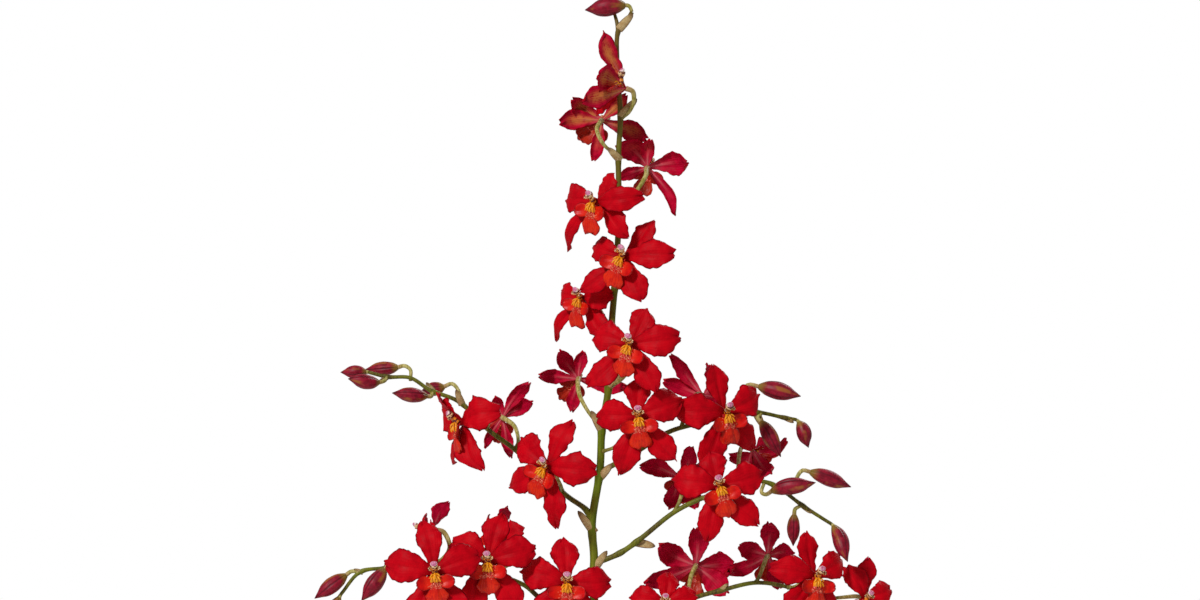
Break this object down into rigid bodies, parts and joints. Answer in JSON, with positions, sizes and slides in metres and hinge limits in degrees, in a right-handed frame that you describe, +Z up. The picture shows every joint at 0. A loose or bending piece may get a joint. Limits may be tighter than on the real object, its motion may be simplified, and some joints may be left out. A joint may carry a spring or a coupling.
{
  "type": "potted oncidium orchid",
  "caption": "Oncidium orchid in a plain round pot of bark, with flattened pseudobulbs, strap leaves and a tall branched spray of red blooms with orange lips.",
  "frame": {"origin": "the middle of the pot's flat foot, where the part stands", "axes": "+Z up along the pot's axis, -Y towards the viewer that the fan of blooms faces, +X to that viewer's right"},
  "size_m": [0.2888, 0.1957, 0.6308],
  "materials": {
    "bloom": "satin petals and lip",
    "centre": "waxy column and callus",
    "spike": "smooth green stem",
    "growth": "satin leaf and pseudobulb",
    "bark": "rough bark chips",
    "pot": "matte unglazed clay"
  },
  "bodies": {
    "root": {"bloom_02": "bloom", "bloom_03": "bloom", "bloom_04": "bloom", "bloom_05": "bloom", "centre_05": "centre", "bloom_06": "bloom", "centre_06": "centre", "bloom_07": "bloom", "centre_07": "centre", "bloom_08": "bloom", "centre_08": "centre", "bloom_09": "bloom", "bloom_11": "bloom", "centre_11": "centre", "bloom_12": "bloom", "centre_12": "centre", "bloom_13": "bloom", "bloom_14": "bloom", "centre_14": "centre", "bloom_15": "bloom", "bloom_16": "bloom", "bloom_20": "bloom", "bloom_21": "bloom", "bloom_22": "bloom", "centre_22": "centre", "bloom_23": "bloom", "centre_23": "centre", "bloom_24": "bloom", "centre_24": "centre", "bloom_26": "bloom", "centre_26": "centre", "bloom_27": "bloom", "centre_27": "centre", "bloom_28": "bloom", "bloom_29": "bloom", "centre_29": "centre", "bloom_30": "bloom", "centre_30": "centre", "bloom_31": "bloom", "centre_31": "centre", "bloom_32": "bloom", "centre_32": "centre", "bloom_33": "bloom", "centre_33": "centre", "flower_spike": "spike", "growth_a": "growth", "growth_b": "growth", "growth_c": "growth", "backbulb": "growth", "pot": "pot", "bark": "bark"}
  },
  "joints": []
}
